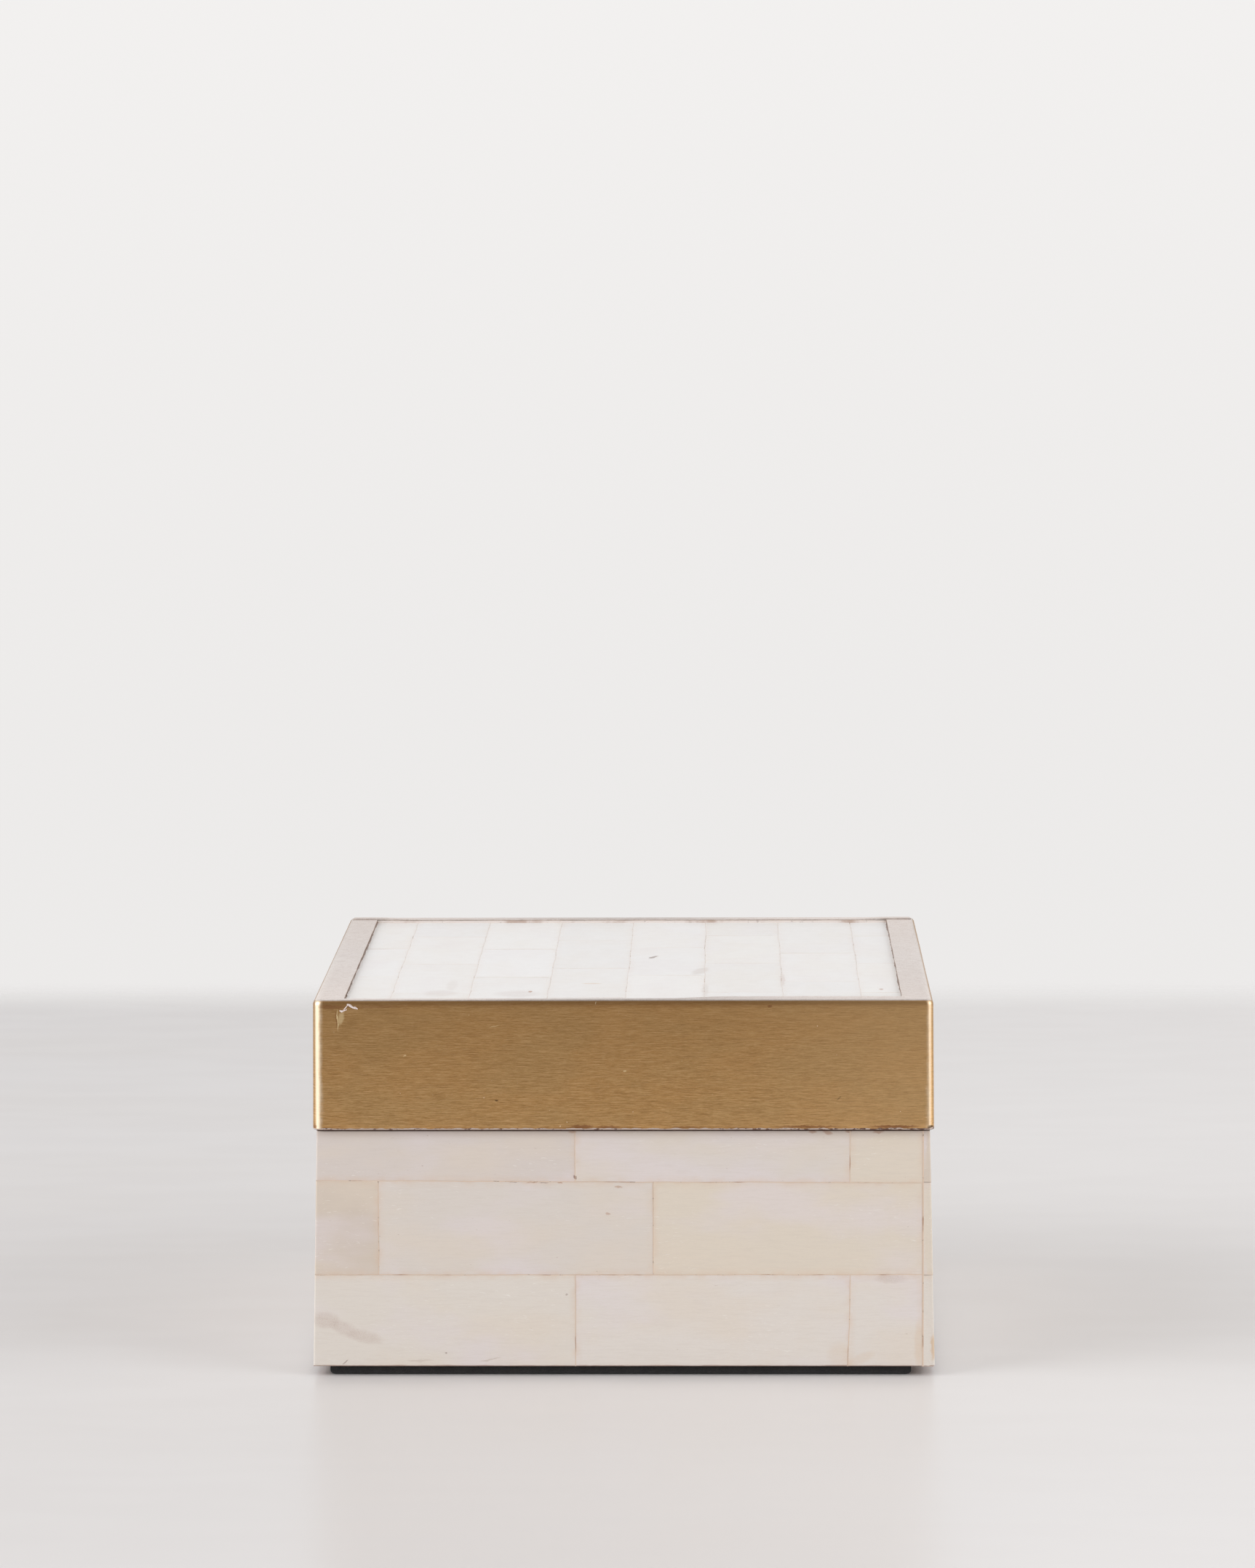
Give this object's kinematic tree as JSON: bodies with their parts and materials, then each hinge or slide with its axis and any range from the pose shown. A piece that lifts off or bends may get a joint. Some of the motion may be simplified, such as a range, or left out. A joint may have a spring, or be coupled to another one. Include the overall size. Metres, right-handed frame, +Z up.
{
  "type": "inlaid wooden box",
  "caption": "Low square wooden box tiled with bone in brick bond, with a lift-off lid topped with bone strips and edged with a wide brushed brass band.",
  "frame": {"origin": "middle of the underside of the foot", "axes": "+Z up, the way the lid lifts; -Y towards the front; +X to the right seen from the front"},
  "size_m": [0.1278, 0.1278, 0.0781],
  "materials": {
    "bone_pale": "polished bone, greyish cream",
    "bone_warm": "polished bone, yellowish cream",
    "bone_rosy": "polished bone, pinkish cream",
    "bone_top": "polished bone, near white",
    "brushed_brass": "brushed and lacquered, horizontal grain",
    "carcass_wood": "oiled, satin",
    "felt_foot": "black felt",
    "felt_lining": "charcoal felt"
  },
  "bodies": {
    "base": {"base_felt": "felt_foot", "bottom_board": "carcass_wood", "wall_front": "carcass_wood", "wall_right": "carcass_wood", "wall_back": "carcass_wood", "wall_left": "carcass_wood", "floor_lining": "felt_lining", "bone_front_bottom_left": "bone_rosy", "bone_front_bottom_centre": "bone_pale", "bone_front_bottom_right": "bone_warm", "bone_front_middle_left": "bone_warm", "bone_front_middle_centre": "bone_pale", "bone_front_middle_right": "bone_warm", "bone_front_top_left": "bone_pale", "bone_front_top_centre": "bone_pale", "bone_front_top_right": "bone_warm", "bone_right_bottom_left": "bone_rosy", "bone_right_bottom_centre": "bone_pale", "bone_right_bottom_right": "bone_warm", "bone_right_middle_left": "bone_warm", "bone_right_middle_centre": "bone_pale", "bone_right_middle_right": "bone_warm", "bone_right_top_left": "bone_pale", "bone_right_top_centre": "bone_pale", "bone_right_top_right": "bone_warm", "bone_back_bottom_left": "bone_rosy", "bone_back_bottom_centre": "bone_pale", "bone_back_bottom_right": "bone_warm", "bone_back_middle_left": "bone_warm", "bone_back_middle_centre": "bone_pale", "bone_back_middle_right": "bone_warm", "bone_back_top_left": "bone_pale", "bone_back_top_centre": "bone_pale", "bone_back_top_right": "bone_warm", "bone_left_bottom_left": "bone_rosy", "bone_left_bottom_centre": "bone_pale", "bone_left_bottom_right": "bone_warm", "bone_left_middle_left": "bone_warm", "bone_left_middle_centre": "bone_pale", "bone_left_middle_right": "bone_warm", "bone_left_top_left": "bone_pale", "bone_left_top_centre": "bone_pale", "bone_left_top_right": "bone_warm"},
    "lid": {"lid_board": "carcass_wood", "lid_rail_front": "carcass_wood", "lid_rail_right": "carcass_wood", "lid_rail_back": "carcass_wood", "lid_rail_left": "carcass_wood", "lid_lining": "felt_lining", "bone_top_row_1": "bone_top", "bone_top_row_2": "bone_top", "bone_top_row_3": "bone_top", "bone_top_row_4": "bone_top", "bone_top_row_5": "bone_top", "bone_top_row_6": "bone_top", "bone_top_row_7": "bone_top", "bone_top_row_8": "bone_top", "brass_band": "brushed_brass"}
  },
  "joints": [
    {"name": "lid_lift", "type": "slide", "parent": "base", "child": "lid", "axis": [0, 0, 1], "range_m": [0, 0.09]}
  ]
}
